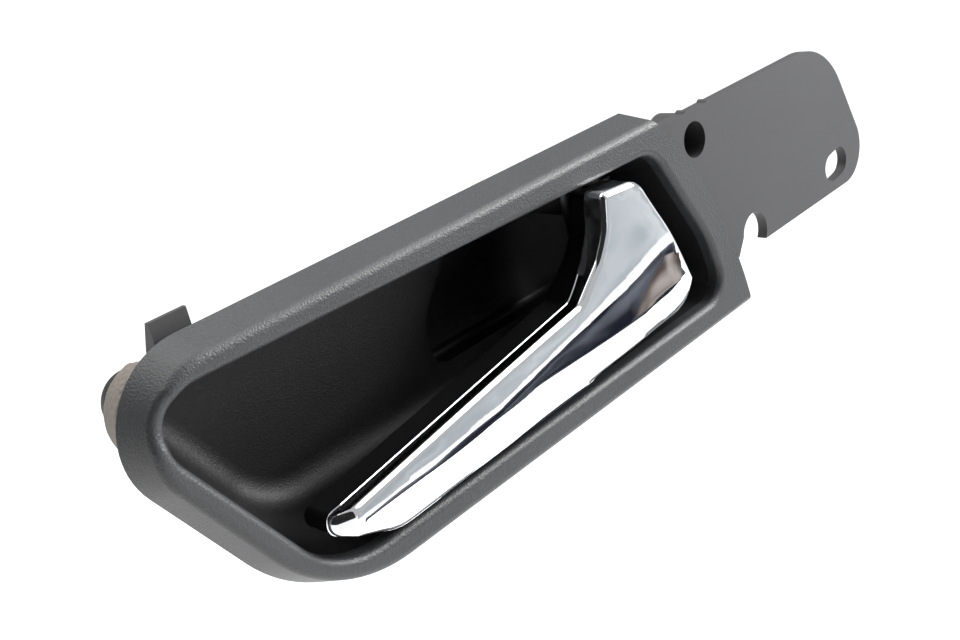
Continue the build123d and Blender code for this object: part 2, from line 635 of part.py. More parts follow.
def lever_carrier():
    """Core of the lever: fills the skin, shows as a rim behind it, and carries the barrel and the crank."""
    inside = prism(outline(grown(lever_corners(), -SKIN_WALL - CARRIER_FIT)), LEVER_FRONT, SKIN_BACK_FLAG + 1)
    body = lever_front(inside, SKIN_WALL + CARRIER_FIT)
    rim = prism(outline(grown(lever_corners(), -RIM_INSET)), SKIN_BACK_ARM, CARRIER_BACK)
    rim -= skin_region()
    body += rim
    web_right = PIVOT_X + BARREL_R / 2
    body += block(PIVOT_X - BARREL_R, web_right, CARRIER_BACK - 1, PIVOT_Y, BARREL_BOTTOM, WEB_TOP)
    body += upright(BARREL_R, PIVOT_X, PIVOT_Y, BARREL_BOTTOM, BARREL_TOP)
    body += upright(NECK_R, PIVOT_X, PIVOT_Y, NECK_BOTTOM, BARREL_BOTTOM)
    half = CRANK_THICK / 2
    side = CRANK_WIDTH / 2
    body += block(PIVOT_X - side, PIVOT_X + side, PIVOT_Y, SOCKET_Y, CRANK_Z - half, CRANK_Z + half)
    body += upright(SOCKET_R + SOCKET_FIT + EYE_WALL, PIVOT_X, SOCKET_Y, CRANK_Z - half, CRANK_Z + half)

    body -= upright(SOCKET_R + SOCKET_FIT, PIVOT_X, SOCKET_Y, CRANK_Z - CRANK_THICK, CRANK_Z + CRANK_THICK)
    bush_seat = PIN_R + PIN_FIT + BUSH_WALL
    body -= upright(bush_seat, PIVOT_X, PIVOT_Y, NECK_BOTTOM - 1, NECK_BOTTOM + BUSH_LENGTH)
    body -= upright(bush_seat, PIVOT_X, PIVOT_Y, BARREL_TOP - BUSH_LENGTH, BARREL_TOP + 1)
    body -= upright(PIN_R + BARREL_RELIEF, PIVOT_X, PIVOT_Y, NECK_BOTTOM, BARREL_TOP)
    hold_top = SPRING_TOP + SPRING_HOLD + 0.3
    body -= upright(SPRING_WIRE_R + 0.15, PIVOT_X + SPRING_R, PIVOT_Y, BARREL_BOTTOM - 1, hold_top)
    for x, z in SKIN_SCREWS:
        body -= along_y(SCREW_R + SCREW_BOSS_WALL + CARRIER_FIT, x, z, LEVER_FRONT, SKIN_BOSS_BACK + 0.05)
        body -= along_y(SCREW_R + SCREW_CLEARANCE, x, z, 0, CARRIER_BACK + 1)
        body -= along_y(SCREW_HEAD_R + SCREW_CLEARANCE, x, z, SCREW_SEAT, CARRIER_BACK + 1)
    return body


def cable_socket():
    """Swivel in the crank's eye: stem, two flanges and a head with the cable's bore."""
    end = SOCKET_Y
    half = CRANK_THICK / 2 + SOCKET_GAP
    body = upright(SOCKET_R, PIVOT_X, end, CRANK_Z - half, CRANK_Z + half)
    body += upright(SOCKET_FLANGE_R, PIVOT_X, end, CRANK_Z + half, CRANK_Z + half + SOCKET_FLANGE)
    body += upright(SOCKET_FLANGE_R, PIVOT_X, end, CRANK_Z - half - SOCKET_HEAD, CRANK_Z - half)
    bore = Plane(origin=(PIVOT_X - 20, end, CABLE_Z), z_dir=(1, 0, 0)) * Circle(CABLE_BORE_R)
    return body - extrude(bore, amount=40)


PIECES = {
    "bezel_cover": bezel_cover,
    "finger_bowl": finger_bowl,
    "mounting_frame": mounting_frame,
    "anti_rattle_pad": anti_rattle_pad,
    "pivot_pin": pivot_pin,
    "pin_washer": pin_washer,
    "pivot_clip": pivot_clip,
    "return_spring": return_spring,
    "rest_bumper": rest_bumper,
    "open_bumper": open_bumper,
    "conduit_bracket": conduit_bracket,
    "bracket_screws": bracket_screws,
    "cover_screws": cover_screws,
    "lever_skin": lever_skin,
    "lever_carrier": lever_carrier,
    "skin_screws": skin_screws,
    "pivot_bush_upper": lambda: pivot_bush(BARREL_TOP + BUSH_FLANGE, BARREL_TOP - BUSH_LENGTH),
    "pivot_bush_lower": lambda: pivot_bush(NECK_BOTTOM - BUSH_FLANGE, NECK_BOTTOM + BUSH_LENGTH),
    "cable_socket": cable_socket,
}

os.makedirs("parts", exist_ok=True)
for name, make in PIECES.items():
    export_step(Pos(-ORIGIN[0], -ORIGIN[1], -ORIGIN[2]) * make(), f"parts/{name}.step")
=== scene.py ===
import math

import bpy
from mathutils import Matrix, Vector


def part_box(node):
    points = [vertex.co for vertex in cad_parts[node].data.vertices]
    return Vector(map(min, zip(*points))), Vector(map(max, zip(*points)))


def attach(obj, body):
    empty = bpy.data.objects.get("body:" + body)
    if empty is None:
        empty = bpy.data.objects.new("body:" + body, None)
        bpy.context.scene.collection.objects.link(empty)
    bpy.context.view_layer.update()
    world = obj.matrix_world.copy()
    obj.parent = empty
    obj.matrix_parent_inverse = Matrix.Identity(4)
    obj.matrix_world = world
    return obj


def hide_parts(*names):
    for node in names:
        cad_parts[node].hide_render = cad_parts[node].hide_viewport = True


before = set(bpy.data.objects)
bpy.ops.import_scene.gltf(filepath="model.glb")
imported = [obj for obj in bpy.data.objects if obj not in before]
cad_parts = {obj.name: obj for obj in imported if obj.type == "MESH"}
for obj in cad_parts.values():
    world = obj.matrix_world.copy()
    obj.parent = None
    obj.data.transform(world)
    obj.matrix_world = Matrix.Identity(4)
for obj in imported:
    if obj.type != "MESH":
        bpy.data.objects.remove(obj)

bl_info = {
    "name": "Inner door handle",
    "version": (1, 0, 0),
    "blender": (4, 5, 0),
    "location": "View3D > Sidebar > Door handle",
    "description": "Chromed lever shell, rattle pad, plastic and metal finishes, and a plain studio",
    "category": "Add Mesh",
}

MM = 0.001
DULL = 0.9                  # roughness of the matt floor and cards
PAD_VOXEL = 0.6 * MM
MERGE = 0.01 * MM           # vertices closer than this are one, in a copied CAD mesh
CUT_MERGE = 0.03 * MM       # the same, after the lever's front is cut
ON_LINE = 0.03              # mm; a vertex this near a crease line lies on it
CREST_END = 15.0            # mm; the crest is crisp up to here, and soft across the flag
# The lever's front, in mm of the drawing: how it falls back from the crest.
FRONT_LEVEL = -5.0          # depth of the crest
CREST_SOFT_LEAST = 0.05     # width over which the crest is rounded along the arm
CREST_SOFT_MORE = 5.0       # what the flag adds to that width
CREST_SOFT_START = 8.0
CREST_SOFT_RUN = 40.0
UPPER_RUN = 5.5
LOWER_RUN = 6.0
LOWER_BEVEL_SLOPE = 0.40
TIP_SLOPE = 0.75
TIP_START = -43.6
ROLL_DEPTH = 1.2            # how far the flag's end rolls back
ROLL_START = 50.0
ROLL_RUN = 14.0
ROLL_LEAN = 0.45
# The shell's back rim, which stands further back at the flag.
REAR_LEVEL = -0.5
REAR_STEP = 2.0
REAR_START = 25.0
REAR_RUN = 12.0
EDGE_SHARE = 0.7            # most of the side's depth that the rounded edge may take
RIM_LEVEL = 3.0             # level of the back rim in the lever's rings
FLOOR_Z = -0.45
SUN_FROM = Vector((0.618, -0.364, 0.697))

# The lever is drawn in mm: x along the handle, z up, from a point near the middle of the opening.
# This is that point and the cover's face, seen from the tab's round bore.
DRAWING_ZERO = Vector((-85.7, -5.2, -9.4)) * MM

# Corners of the lever's front, each with its radius, counter-clockwise.
LEVER_CORNERS = [
    (-47.0, -17.8, 2.2),
    (-47.5, -21.6, 2.5),
    (-32.5, -29.2, 14.0),
    (70.3, -26.0, 5.5),
    (51.4, 11.8, 6.0),
    (38.6, 12.8, 1.8),
    (37.0, 4.6, 12.0),
    (33.0, -0.6, 10.0),
    (24.6, -7.0, 4.0),
]
# The crest that runs along the arm and up across the flag.
CREST = [
    (-60.0, -22.3), (-43.4, -20.8), (-22.8, -19.2), (-3.3, -16.9), (11.3, -13.9),
    (26.0, -10.6), (39.7, -7.0), (52.7, -2.4), (60.0, -0.4), (80.0, 5.0),
]
# The upper edge of the wide bevel along the bottom.
BEVEL_LINE = [
    (-60.0, -22.4), (-41.4, -21.8), (-3.3, -20.5), (26.0, -19.8), (45.6, -19.1), (65.0, -17.6), (80.0, -16.4),
]


# ---- helpers ----
def placed(x, y, z):
    """A point of the drawing, in mm, in the frame."""
    return DRAWING_ZERO + Vector((x, y, z)) * MM


def along(line, x):
    """Height of a line of points at x."""
    for (x0, z0), (x1, z1) in zip(line, line[1:]):
        if x <= x1:
            return z0 + (z1 - z0) * (x - x0) / (x1 - x0)
    return line[-1][1]


def smooth_step(t):
    t = min(max(t, 0.0), 1.0)
    return t * t * (3 - 2 * t)


def soft_max(value, width):
    """max(value, 0) with its corner rounded over a width."""
    return 0.5 * (value + math.sqrt(value * value + width * width)) - 0.5 * width


def rounded(corners, turn=math.radians(6)):
    """Points of a closed outline whose corners are arcs."""
    points = []
    count = len(corners)
    for i, (x, z, radius) in enumerate(corners):
        here = Vector((x, z))
        back = (Vector(corners[i - 1][:2]) - here).normalized()
        on = (Vector(corners[(i + 1) % count][:2]) - here).normalized()
        half = math.acos(max(-1.0, min(1.0, back.dot(on)))) / 2
        sweep = math.pi - 2 * half
        centre = here + (back + on).normalized() * radius / math.sin(half)
        start = here + back * radius / math.tan(half) - centre
        sign = 1 if back.x * on.y - back.y * on.x < 0 else -1
        steps = max(2, round(sweep / turn))
        for k in range(steps + 1):
            a = sign * sweep * k / steps
            points.append(centre + Vector((start.x * math.cos(a) - start.y * math.sin(a),
                                           start.x * math.sin(a) + start.y * math.cos(a))))
    return points


def grown(corners, by):
    """The same outline with every side moved outwards, and the radii to match."""
    moved = []
    for before, here, after in zip(corners[-1:] + corners[:-1], corners, corners[1:] + corners[:1]):
        side_in = (Vector(here[:2]) - Vector(before[:2])).normalized()
        side_out = (Vector(after[:2]) - Vector(here[:2])).normalized()
        out_in, out_out = Vector((side_in.y, -side_in.x)), Vector((side_out.y, -side_out.x))
        shift = (out_in + out_out) * by / (1 + out_in.dot(out_out))
        convex = side_in.x * side_out.y - side_in.y * side_out.x > 0
        moved.append((here[0] + shift.x, here[1] + shift.y, max(here[2] + (by if convex else -by), 0.2)))
    return moved


def deselect():
    if bpy.context.object and bpy.context.object.mode != "OBJECT":
        bpy.ops.object.mode_set(mode="OBJECT")
    bpy.ops.object.select_all(action="DESELECT")


def pick(obj, mode, test):
    """Selects the faces, edges or vertices that pass a test, and leaves the object in edit mode."""
    bpy.ops.object.mode_set(mode="EDIT")
    bpy.ops.mesh.select_mode(type=mode)
    bpy.ops.mesh.select_all(action="DESELECT")
    bpy.ops.object.mode_set(mode="OBJECT")
    items = {"FACE": obj.data.polygons, "EDGE": obj.data.edges, "VERT": obj.data.vertices}[mode]
    for item in items:
        item.select = test(item)
    bpy.ops.object.mode_set(mode="EDIT")


def slice_all(obj, point, normal):
    pick(obj, "FACE", lambda f: True)
    bpy.ops.mesh.bisect(plane_co=point, plane_no=normal)
    bpy.ops.object.mode_set(mode="OBJECT")


def finish_piece(obj, name, material, body, smooth=None):
    deselect()
    obj.name = obj.data.name = name
    obj.select_set(True)
    bpy.context.view_layer.objects.active = obj
    if smooth is not None:
        bpy.ops.object.shade_smooth_by_angle(angle=smooth)
    obj.data.materials.clear()
    obj.data.materials.append(material)
    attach(obj, body)
    deselect()
    return obj


# ---- shader groups ----
def new_group(name, inputs, outputs):
    """A shader node group with float or vector inputs and float outputs."""
    group = bpy.data.node_groups.new(name, "ShaderNodeTree")
    for label, kind, default in inputs:
        socket = group.interface.new_socket(label, in_out="INPUT", socket_type=kind)
        if default is not None:
            socket.default_value = default
    for label, kind in outputs:
        group.interface.new_socket(label, in_out="OUTPUT", socket_type=kind)
    return group, group.nodes.new("NodeGroupInput"), group.nodes.new("NodeGroupOutput")


def math_node(tree, operation, a, b):
    node = tree.nodes.new("ShaderNodeMath")
    node.operation = operation
    for socket, value in zip(node.inputs, (a, b)):
        if isinstance(value, bpy.types.NodeSocket):
            tree.links.new(value, socket)
        else:
            socket.default_value = value
    return node.outputs[0]


def noise_node(tree, vector, scale, detail, roughness=0.5):
    node = tree.nodes.new("ShaderNodeTexNoise")
    node.inputs["Detail"].default_value = detail
    node.inputs["Roughness"].default_value = roughness
    tree.links.new(vector, node.inputs["Vector"])
    if isinstance(scale, bpy.types.NodeSocket):
        tree.links.new(scale, node.inputs["Scale"])
    else:
        node.inputs["Scale"].default_value = scale
    return node.outputs["Fac"]


def make_moulded_grain():
    """Etched grain of a moulded plastic part: pits of two sizes, and a slow change of shade."""
    group, given, out = new_group(
        "Moulded grain",
        [("Vector", "NodeSocketVector", None), ("Grain", "NodeSocketFloat", 2200.0)],
        [("Height", "NodeSocketFloat"), ("Shade", "NodeSocketFloat"), ("Gloss", "NodeSocketFloat")],
    )
    fine = noise_node(group, given.outputs["Vector"], given.outputs["Grain"], 3.0, 0.6)
    cells = group.nodes.new("ShaderNodeTexVoronoi")
    group.links.new(given.outputs["Vector"], cells.inputs["Vector"])
    group.links.new(given.outputs["Grain"], cells.inputs["Scale"])
    pits = math_node(group, "MULTIPLY", cells.outputs["Distance"], 0.6)
    height = math_node(group, "ADD", fine, pits)
    slow = noise_node(group, given.outputs["Vector"], 28.0, 4.0)
    mixed = math_node(group, "ADD", math_node(group, "MULTIPLY", fine, 0.55),
                      math_node(group, "MULTIPLY", slow, 0.45))
    group.links.new(height, out.inputs["Height"])
    group.links.new(mixed, out.inputs["Shade"])
    group.links.new(slow, out.inputs["Gloss"])
    return group


def make_handling_marks():
    """Faint smears that a touched surface has."""
    group, given, out = new_group(
        "Handling marks",
        [("Vector", "NodeSocketVector", None)],
        [("Smears", "NodeSocketFloat")],
    )
    smears = noise_node(group, given.outputs["Vector"], 60.0, 5.0, 0.7)
    group.links.new(math_node(group, "POWER", smears, 2.5), out.inputs["Smears"])
    return group


# ---- materials ----
class Recipe:
    """One material being put together: its tree, its shader and the object coordinates."""

    def __init__(self, name):
        self.material = bpy.data.materials.new(name)
        self.material.use_nodes = True
        self.tree = self.material.node_tree
        self.shader = next(n for n in self.tree.nodes if n.type == "BSDF_PRINCIPLED")
        self.place = self.tree.nodes.new("ShaderNodeTexCoord").outputs["Object"]

    def group(self, name, **values):
        node = self.tree.nodes.new("ShaderNodeGroup")
        node.node_tree = bpy.data.node_groups[name]
        self.tree.links.new(self.place, node.inputs["Vector"])
        for label, value in values.items():
            node.inputs[label].default_value = value
        return node.outputs

    def blend(self, fac, low, high, socket, low_at=0.3, high_at=0.7):
        """Feeds a socket with a colour ramp between two colours."""
        ramp = self.tree.nodes.new("ShaderNodeValToRGB")
        ramp.color_ramp.elements[0].position = low_at
        ramp.color_ramp.elements[1].position = high_at
        ramp.color_ramp.elements[0].color = (*low, 1)
        ramp.color_ramp.elements[1].color = (*high, 1)
        self.tree.links.new(fac, ramp.inputs["Fac"])
        self.tree.links.new(ramp.outputs["Color"], self.shader.inputs[socket])

    def span(self, fac, low, high, socket):
        """Feeds a socket with a number that goes from low to high."""
        node = self.tree.nodes.new("ShaderNodeMapRange")
        node.inputs["To Min"].default_value = low
        node.inputs["To Max"].default_value = high
        self.tree.links.new(fac, node.inputs["Value"])
        self.tree.links.new(node.outputs["Result"], self.shader.inputs[socket])

    def bump(self, height, strength, distance):
        node = self.tree.nodes.new("ShaderNodeBump")
        node.inputs["Strength"].default_value = strength
        node.inputs["Distance"].default_value = distance
        self.tree.links.new(height, node.inputs["Height"])
        self.tree.links.new(node.outputs["Normal"], self.shader.inputs["Normal"])

    def fixed(self, **values):
        for label, value in values.items():
            self.shader.inputs[label.replace("_", " ")].default_value = value


def shades(colour, spread):
    return tuple(c * (1 - spread) for c in colour), tuple(c * (1 + spread) for c in colour)


def grained_plastic(name, colour, spread, roughness, grain, strength, specular, depth=0.06 * MM):
    made = Recipe(name)
    moulded = made.group("Moulded grain", Grain=grain)
    made.blend(moulded["Shade"], *shades(colour, spread), "Base Color")
    made.span(moulded["Gloss"], roughness - 0.05, roughness + 0.05, "Roughness")
    made.bump(moulded["Height"], strength, depth)
    made.fixed(Specular_IOR_Level=specular)
    return made.material


def chrome_plate(name, colour, roughness):
    made = Recipe(name)
    marks = made.group("Handling marks")
    made.blend(marks["Smears"], *shades(colour, 0.02), "Base Color", 0.0, 0.6)
    made.span(marks["Smears"], roughness, roughness + 0.08, "Roughness")
    made.fixed(Metallic=1.0)
    return made.material


def plated_steel(name, colour, roughness):
    made = Recipe(name)
    moulded = made.group("Moulded grain", Grain=700.0)
    made.blend(moulded["Shade"], *shades(colour, 0.12), "Base Color")
    made.span(moulded["Gloss"], roughness - 0.08, roughness + 0.08, "Roughness")
    made.bump(moulded["Height"], 0.08, 0.05 * MM)
    made.fixed(Metallic=1.0)
    return made.material


def foam_felt(name, colour):
    made = Recipe(name)
    moulded = made.group("Moulded grain", Grain=1100.0)
    made.blend(moulded["Shade"], *shades(colour, 0.22), "Base Color")
    made.span(moulded["Gloss"], 0.85, 0.98, "Roughness")
    made.bump(moulded["Height"], 0.6, 0.3 * MM)
    made.fixed(Specular_IOR_Level=0.15)
    return made.material


def coat_nodes(material, names):
    """Gives CAD nodes a material."""
    for name in names:
        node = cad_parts.get(name)
        if node is None:
            raise RuntimeError(f"the frame has no node {name}")
        node.data.materials.clear()
        node.data.materials.append(material)


# ---- settings ----
class LeverSizes(bpy.types.PropertyGroup):
    edge_round: bpy.props.FloatProperty(
        name="Edge round", description="Radius of the rounded edge between the lever's front and sides",
        default=1.5 * MM, min=0.3 * MM, max=2 * MM, unit="LENGTH")
    lip: bpy.props.FloatProperty(
        name="Back lip", description="How far the shell's back rim stands out from its sides",
        default=0.16 * MM, min=0, max=0.6 * MM, unit="LENGTH")
    wall: bpy.props.FloatProperty(
        name="Shell wall", description="Thickness of the plated shell at its back rim",
        default=1.5 * MM, min=0.5 * MM, max=3 * MM, unit="LENGTH")
    mesh_step: bpy.props.FloatProperty(
        name="Mesh step", description="Spacing of the cuts that shape the crowned front",
        default=2.0 * MM, min=1 * MM, max=5 * MM, unit="LENGTH")
    upper_fall: bpy.props.FloatProperty(
        name="Upper fall", description="How far the facet above the crest falls back",
        default=1.3 * MM, min=0.2 * MM, max=3 * MM, unit="LENGTH")
    lower_fall: bpy.props.FloatProperty(
        name="Lower fall", description="How far the facet below the crest falls back",
        default=0.7 * MM, min=0.2 * MM, max=3 * MM, unit="LENGTH")


class HandleFinishes(bpy.types.PropertyGroup):
    cover: bpy.props.FloatVectorProperty(
        name="Cover", description="Charcoal of the cover frame", subtype="COLOR",
        default=(0.030, 0.0315, 0.033))
    tab: bpy.props.FloatVectorProperty(
        name="Tab", description="Charcoal of the mounting frame and its tab", subtype="COLOR",
        default=(0.050, 0.050, 0.052))
    bowl: bpy.props.FloatVectorProperty(
        name="Bowl", description="Black of the finger bowl", subtype="COLOR", default=(0.005, 0.005, 0.0055))
    chrome: bpy.props.FloatVectorProperty(
        name="Chrome", description="Plating of the lever", subtype="COLOR", default=(0.83, 0.84, 0.86))
    pad: bpy.props.FloatVectorProperty(
        name="Pad", description="Warm grey of the rattle pad", subtype="COLOR",
        default=(0.27, 0.245, 0.215))


# ---- pieces ----
class HANDLE_OT_lever_shell(bpy.types.Operator):
    """Models the lever's chromed shell: a plate with a thin edge bevel, a crest and a wide lower bevel"""

    bl_idname = "handle.lever_shell"
    bl_label = "Lever shell"

    def execute(self, context):
        sizes = context.scene.lever_sizes
        # Each ring is a distance out from the outline and a level: -1 is the front, 0 the sides' front
        # edge and 3 the back rim. The levels become real depths once the mesh is cut.
        edge, lip, wall = sizes.edge_round / MM, sizes.lip / MM, sizes.wall / MM
        rings = [(-edge * t, -t) for t in (1.0, 0.65, 0.4, 0.2, 0.07, 0.0)]
        rings += [(0, 2.5), (lip, 2.7), (lip, RIM_LEVEL), (-wall, RIM_LEVEL), (-wall, 1.2)]
        outlines = [rounded(grown(LEVER_CORNERS, by)) for by, _ in rings]

        deselect()
        count = len(outlines[0])
        bpy.ops.mesh.primitive_circle_add(vertices=count, radius=0.05, fill_type="NGON")
        obj = context.object
        for vertex, p in zip(obj.data.vertices, outlines[0]):
            vertex.co = placed(p.x, 0, p.y)
            vertex.co.y = rings[0][1] * MM
        last = rings[0][1]
        for (_, level), before, after in zip(rings[1:], outlines, outlines[1:]):
            lift = (level - last) * MM if abs(level - last) > 0.01 else 0.01 * MM
            places = {self.key(placed(p.x, 0, p.y)): q for p, q in zip(before, after)}
            bpy.ops.object.mode_set(mode="EDIT")
            bpy.ops.mesh.select_mode(type="FACE")
            bpy.ops.mesh.extrude_region_move(TRANSFORM_OT_translate={"value": (0, lift, 0)})
            bpy.ops.object.mode_set(mode="OBJECT")
            moved = {v for f in obj.data.polygons if f.select for v in f.vertices}
            if len(moved) != count:
                raise RuntimeError("the lever's outline lost vertices")
            for index in moved:
                vertex = obj.data.vertices[index]
                q = places[self.key(vertex.co)]
                vertex.co = placed(q.x, 0, q.y)
                vertex.co.y = level * MM
            last = level
        if not any(len(f.vertices) == count and f.center.y < -0.9 * MM for f in obj.data.polygons):
            pick(obj, "VERT", lambda v: v.co.y < -0.99 * MM)
            bpy.ops.mesh.edge_face_add()
            bpy.ops.object.mode_set(mode="OBJECT")
        bpy.ops.object.mode_set(mode="EDIT")
        bpy.ops.mesh.select_all(action="SELECT")
        bpy.ops.mesh.normals_make_consistent(inside=False)
        bpy.ops.object.mode_set(mode="OBJECT")

        lo, hi = (Vector(corner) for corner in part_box("lever_skin"))
        step = sizes.mesh_step
        for k in range(1, int((hi.x - lo.x) / step) + 1):
            slice_all(obj, (lo.x + k * step, 0, 0), (1, 0, 0))
        for x, _ in CREST + BEVEL_LINE:
            slice_all(obj, placed(x, 0, 0), (1, 0, 0))
        for k in range(1, int((hi.z - lo.z) / step) + 1):
            slice_all(obj, (0, 0, lo.z + k * step), (0, 0, 1))
        for line in (CREST, BEVEL_LINE):
            self.cut_along(obj, line)
        bpy.ops.object.mode_set(mode="EDIT")
        bpy.ops.mesh.select_all(action="SELECT")
        bpy.ops.mesh.remove_doubles(threshold=CUT_MERGE)
        bpy.ops.object.mode_set(mode="OBJECT")
        self.mark_creases(obj)
        for vertex in obj.data.vertices:
            vertex.co.y = self.depth(vertex.co, sizes)
        finish_piece(obj, "lever_shell", bpy.data.materials["Bright chrome"], "lever",
                     math.radians(40))
        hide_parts("lever_skin")
        return {"FINISHED"}

    def key(self, co):
        return round(co.x * 1e5), round(co.z * 1e5)

    def cut_along(self, obj, line):
        """Edges along a crease, one straight run at a time."""
        for (x0, z0), (x1, z1) in zip(line, line[1:]):
            a, b = placed(x0, 0, z0), placed(x1, 0, z1)
            pick(obj, "FACE", lambda f: a.x < f.center.x < b.x and f.center.y < 0)
            bpy.ops.mesh.bisect(plane_co=(a.x, 0, a.z), plane_no=((b.z - a.z), 0, -(b.x - a.x)))
            bpy.ops.object.mode_set(mode="OBJECT")

    def mark_creases(self, obj):
        """Keeps the crest along the arm and the lower bevel's edge crisp."""
        places = [(v.co - DRAWING_ZERO) / MM for v in obj.data.vertices]

        def on_crease(edge):
            ends = [places[i] for i in edge.vertices]
            if any(obj.data.vertices[i].co.y > -0.3 * MM for i in edge.vertices):
                return False
            on_crest = all(abs(p.z - along(CREST, p.x)) < ON_LINE and p.x < CREST_END for p in ends)
            return on_crest or all(abs(p.z - along(BEVEL_LINE, p.x)) < ON_LINE for p in ends)

        pick(obj, "EDGE", on_crease)
        bpy.ops.mesh.mark_sharp()
        bpy.ops.object.mode_set(mode="OBJECT")

    def front(self, x, z, sizes):
        """Depth of the crowned front at a point of the drawing, in mm."""
        above = z - along(CREST, x)
        flag = smooth_step((x - CREST_SOFT_START) / CREST_SOFT_RUN)
        softness = CREST_SOFT_LEAST + CREST_SOFT_MORE * flag
        up, down = soft_max(above, softness), soft_max(-above, softness)
        fall = sizes.upper_fall / MM * (1 - math.exp(-up / UPPER_RUN))
        fall += sizes.lower_fall / MM * down / LOWER_RUN
        fall += LOWER_BEVEL_SLOPE * max(along(BEVEL_LINE, x) - z, 0.0)
        fall += TIP_SLOPE * max(TIP_START - x, 0.0)
        fall += ROLL_DEPTH * (max(x + ROLL_LEAN * z - ROLL_START, 0.0) / ROLL_RUN) ** 2
        return FRONT_LEVEL + fall

    def depth(self, co, sizes):
        """Real y of a vertex, from its level."""
        on_drawing = (co - DRAWING_ZERO) / MM
        front = self.front(on_drawing.x, on_drawing.z, sizes)
        rear = REAR_LEVEL + REAR_STEP * smooth_step((on_drawing.x - REAR_START) / REAR_RUN)
        level = co.y / MM
        radius = min(sizes.edge_round / MM, EDGE_SHARE * (rear - front))
        edge = front + radius
        if level < 0:
            y = edge - radius * math.sqrt(max(0.0, 1 - (1 + level) ** 2))
        else:
            y = edge + (rear - edge) * level / RIM_LEVEL
        return DRAWING_ZERO.y + y * MM


class HANDLE_OT_rattle_pad(bpy.types.Operator):
    """Models the soft pad at the bowl's left end: a strip with softened corners"""

    bl_idname = "handle.rattle_pad"
    bl_label = "Rattle pad"

    def execute(self, context):
        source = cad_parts["anti_rattle_pad"]
        deselect()
        source.select_set(True)
        context.view_layer.objects.active = source
        bpy.ops.object.duplicate()
        obj = context.object
        obj.parent = None
        bpy.ops.object.mode_set(mode="EDIT")
        bpy.ops.mesh.select_all(action="SELECT")
        bpy.ops.mesh.remove_doubles(threshold=MERGE)
        bpy.ops.object.mode_set(mode="OBJECT")
        remesh = obj.modifiers.new("Even mesh", "REMESH")
        remesh.mode = "VOXEL"
        remesh.voxel_size = PAD_VOXEL
        bpy.ops.object.modifier_apply(modifier=remesh.name)
        soften = obj.modifiers.new("Soft corners", "SMOOTH")
        soften.factor = 0.5
        soften.iterations = 6
        bpy.ops.object.modifier_apply(modifier=soften.name)
        finish_piece(obj, "rattle_pad", bpy.data.materials["Foam felt"], "housing",
                     math.radians(60))
        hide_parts("anti_rattle_pad")
        return {"FINISHED"}


class HANDLE_OT_plastic_finishes(bpy.types.Operator):
    """Gives the cover, the mounting frame, the bowl and the lever's carrier their grained plastics"""

    bl_idname = "handle.plastic_finishes"
    bl_label = "Plastic finishes"

    def execute(self, context):
        look = context.scene.handle_finishes
        coats = [
            ("bezel_cover", "Charcoal cover", look.cover, 0.30, 0.46, 2300.0, 0.9, 0.6, 0.1 * MM),
            ("mounting_frame", "Charcoal tab", look.tab, 0.10, 0.50, 3200.0, 0.2, 0.4),
            ("finger_bowl", "Black bowl", look.bowl, 0.25, 0.48, 2600.0, 0.8, 0.4),
            ("lever_carrier", "Black carrier", look.bowl, 0.2, 0.35, 3000.0, 0.1, 0.4),
        ]
        for node, *recipe in coats:
            coat_nodes(grained_plastic(*recipe), [node])
        return {"FINISHED"}


class HANDLE_OT_hardware_finishes(bpy.types.Operator):
    """Gives the pin, clip, washer, spring, screws, bracket, bushes, socket and bumpers their finishes"""

    bl_idname = "handle.hardware_finishes"
    bl_label = "Hardware finishes"

    def execute(self, context):
        steels = [
            ("Ground steel", (0.42, 0.43, 0.45), 0.28, ["pivot_pin", "pin_washer", "pivot_clip"]),
            ("Spring steel", (0.20, 0.20, 0.21), 0.38, ["return_spring"]),
            ("Zinc plate", (0.50, 0.50, 0.49), 0.42, ["conduit_bracket"]),
            ("Screw zinc", (0.46, 0.46, 0.45), 0.35, ["cover_screws", "bracket_screws", "skin_screws"]),
        ]
        for name, colour, roughness, nodes in steels:
            coat_nodes(plated_steel(name, colour, roughness), nodes)
        coat_nodes(grained_plastic("Natural nylon", (0.62, 0.59, 0.52), 0.06, 0.42, 1500.0, 0.1, 0.4),
                   ["pivot_bush_upper", "pivot_bush_lower", "cable_socket"])
        coat_nodes(grained_plastic("Black rubber", (0.02, 0.02, 0.02), 0.2, 0.7, 1800.0, 0.3, 0.25),
                   ["rest_bumper", "open_bumper"])
        return {"FINISHED"}


# ---- stage ----
def plain_matt(name, colour):
    made = Recipe(name)
    made.shader.inputs["Base Color"].default_value = (*colour, 1)
    made.fixed(Roughness=DULL, Specular_IOR_Level=0.0)
    return made.material


def aimed(obj, target):
    obj.rotation_euler = (Vector(target) - obj.location).to_track_quat("-Z", "Y").to_euler()


def turned(forward, up):
    """Rotation of a camera that looks along forward with its head along up."""
    side = forward.cross(up).normalized()
    head = side.cross(forward).normalized()
    return Matrix((side, head, -forward.normalized())).transposed().to_euler()


def softbox(name, place, target, size, watts):
    bpy.ops.object.light_add(type="AREA", location=place)
    light = bpy.context.object
    light.name = name
    light.data.shape = "RECTANGLE"
    light.data.size, light.data.size_y = size
    light.data.energy = watts
    aimed(light, target)


def card(name, middle, corners, away, material):
    """A dull card that only shows as a reflection. Its corners are azimuths from the front and elevations."""
    bpy.ops.mesh.primitive_plane_add(size=1)
    sheet = bpy.context.object
    sheet.name = name
    ordered = (corners[0], corners[1], corners[3], corners[2])
    for vertex, (azimuth, elevation) in zip(sheet.data.vertices, ordered):
        a, e = math.radians(azimuth), math.radians(elevation)
        towards = Vector((math.sin(a) * math.cos(e), -math.cos(a) * math.cos(e), math.sin(e)))
        vertex.co = middle + away * towards
    sheet.data.materials.append(material)
    sheet.visible_camera = False
    sheet.visible_shadow = False
    sheet.visible_diffuse = False
    return sheet


